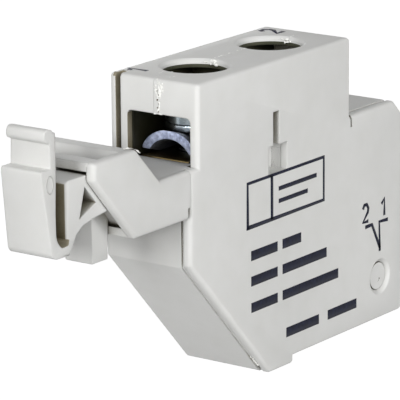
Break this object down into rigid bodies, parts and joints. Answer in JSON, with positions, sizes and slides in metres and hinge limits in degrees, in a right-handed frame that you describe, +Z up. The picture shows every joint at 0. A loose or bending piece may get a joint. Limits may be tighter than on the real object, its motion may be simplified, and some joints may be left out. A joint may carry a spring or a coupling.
{
  "type": "auxiliary contact block",
  "caption": "Slim clip-on auxiliary contact block with a normally closed bridging contact, screw terminals front and rear, and a plunger through its seating face.",
  "frame": {"origin": "on the seating face, at half the thickness, straight below the rear terminal screw's axis", "axes": "+X from the latch arm and front wire port towards the rear, +Y from the printed side towards the hidden side, +Z up out of the seating face towards the screwdriver holes"},
  "size_m": [0.0556, 0.01, 0.0308],
  "materials": {
    "housing": "light grey moulded thermoplastic, fine satin texture",
    "zinc_screw": "bright zinc plate",
    "zinc_clamp": "bluish zinc plate",
    "brass": "stamped brass",
    "tip_silver": "fine silver",
    "plunger_plastic": "natural moulded plastic",
    "spring_steel": "drawn spring wire"
  },
  "bodies": {
    "housing": {"base_shell": "housing", "printed_cover": "housing", "square_nut_front": "zinc_screw", "square_nut_rear": "zinc_screw", "contact_strip_front": "brass", "contact_strip_rear": "brass", "fixed_tip_front": "tip_silver", "fixed_tip_rear": "tip_silver", "return_spring": "spring_steel"},
    "latch": {"snap_hook": "housing"},
    "clamp_front": {"wire_clamp_front": "zinc_clamp"},
    "clamp_rear": {"wire_clamp_rear": "zinc_clamp"},
    "screw_front": {"terminal_screw_front": "zinc_screw", "lock_washer_front": "spring_steel"},
    "screw_rear": {"terminal_screw_rear": "zinc_screw", "lock_washer_rear": "spring_steel"},
    "plunger": {"plunger": "plunger_plastic", "contact_spring": "spring_steel"},
    "bridge": {"contact_bridge": "brass", "bridge_tip_front": "tip_silver", "bridge_tip_rear": "tip_silver"}
  },
  "joints": [
    {"name": "latch_flex", "type": "hinge", "parent": "housing", "child": "latch", "pos_m": [-0.0366, -0.00195, 0.01805], "axis": [0, 1, 0], "range_deg": [0, 10], "stiffness_Nm_per_rad": 0.4},
    {"name": "clamp_lift_front", "type": "slide", "parent": "housing", "child": "clamp_front", "axis": [0, 0, 1], "range_m": [0, 0.0018]},
    {"name": "screw_turn_front", "type": "hinge", "parent": "clamp_front", "child": "screw_front", "pos_m": [-0.012, 0, 0.0239], "axis": [0, 0, 1], "range_deg": [0, 1080]},
    {"name": "clamp_lift_rear", "type": "slide", "parent": "housing", "child": "clamp_rear", "axis": [0, 0, 1], "range_m": [0, 0.0018]},
    {"name": "screw_turn_rear", "type": "hinge", "parent": "clamp_rear", "child": "screw_rear", "pos_m": [0, 0, 0.0239], "axis": [0, 0, 1], "range_deg": [0, 1080]},
    {"name": "plunger_slide", "type": "slide", "parent": "housing", "child": "plunger", "axis": [0, 0, 1], "range_m": [0, 0.0018], "stiffness_N_per_m": 300, "springref_m": -0.002, "deforming": ["return_spring"]},
    {"name": "bridge_float", "type": "slide", "parent": "plunger", "child": "bridge", "axis": [0, 0, 1], "range_m": [0, 0.0006], "stiffness_N_per_m": 400, "springref_m": -0.001, "deforming": ["contact_spring"]}
  ],
  "couplings": [
    {"joint": "screw_turn_front", "follows": "clamp_lift_front", "rad_per_m": 10472},
    {"joint": "screw_turn_rear", "follows": "clamp_lift_rear", "rad_per_m": 10472}
  ]
}
